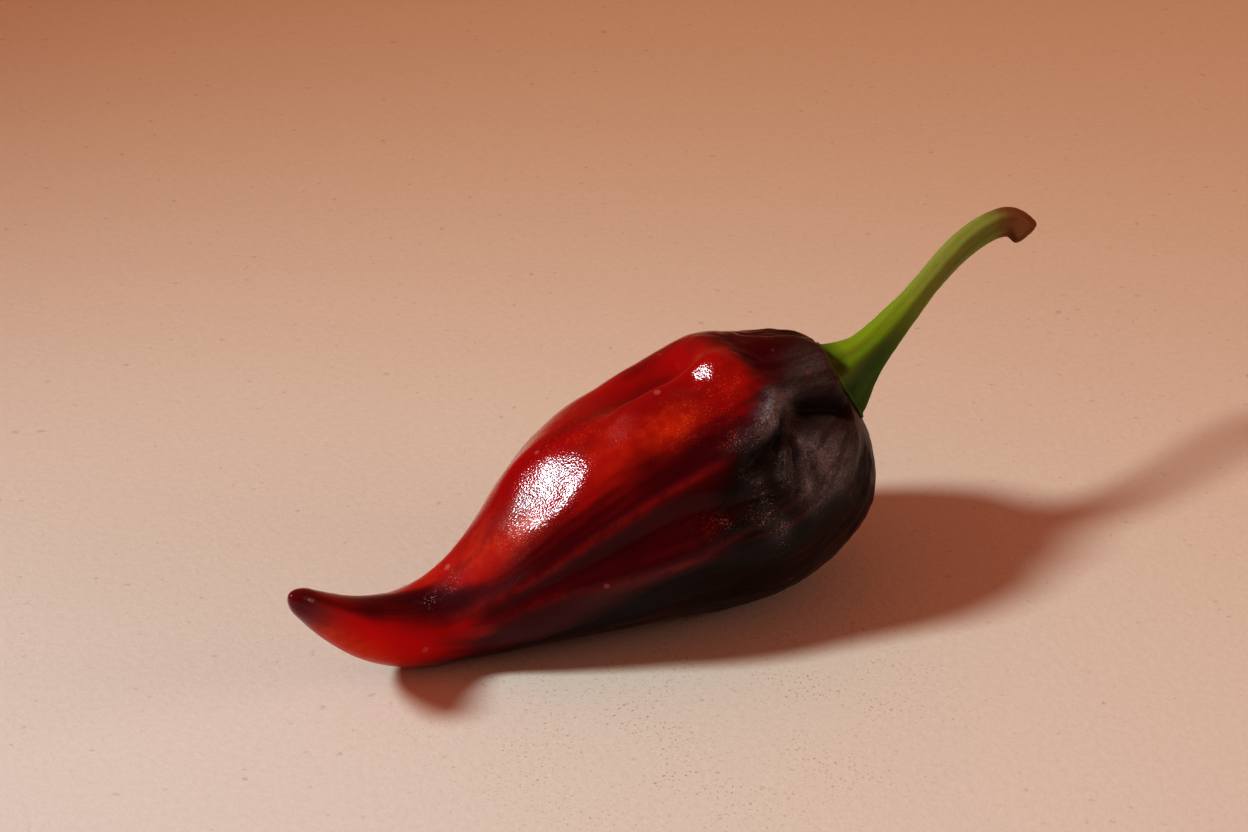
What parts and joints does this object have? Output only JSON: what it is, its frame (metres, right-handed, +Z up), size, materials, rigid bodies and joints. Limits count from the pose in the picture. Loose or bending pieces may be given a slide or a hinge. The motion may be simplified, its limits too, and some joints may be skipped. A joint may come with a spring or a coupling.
{
  "type": "chili pepper",
  "caption": "Small plump glossy chili pepper lying on its side, with a hooked tail, a dark wrinkled shoulder, and a green calyx and stalk.",
  "frame": {"origin": "on the ground under the middle of the chili's bounding box", "axes": "+X along the pod towards the stalk, +Z up, -Y towards the flank with the two ribs"},
  "size_m": [0.0762, 0.0228, 0.0257],
  "materials": {
    "skin": "waxy gloss, red with a chocolate-brown shoulder",
    "stalk": "satin, green at the calyx, olive to brown at the cut end"
  },
  "bodies": {
    "root": {"pod": "skin", "stem": "stalk"}
  },
  "joints": []
}
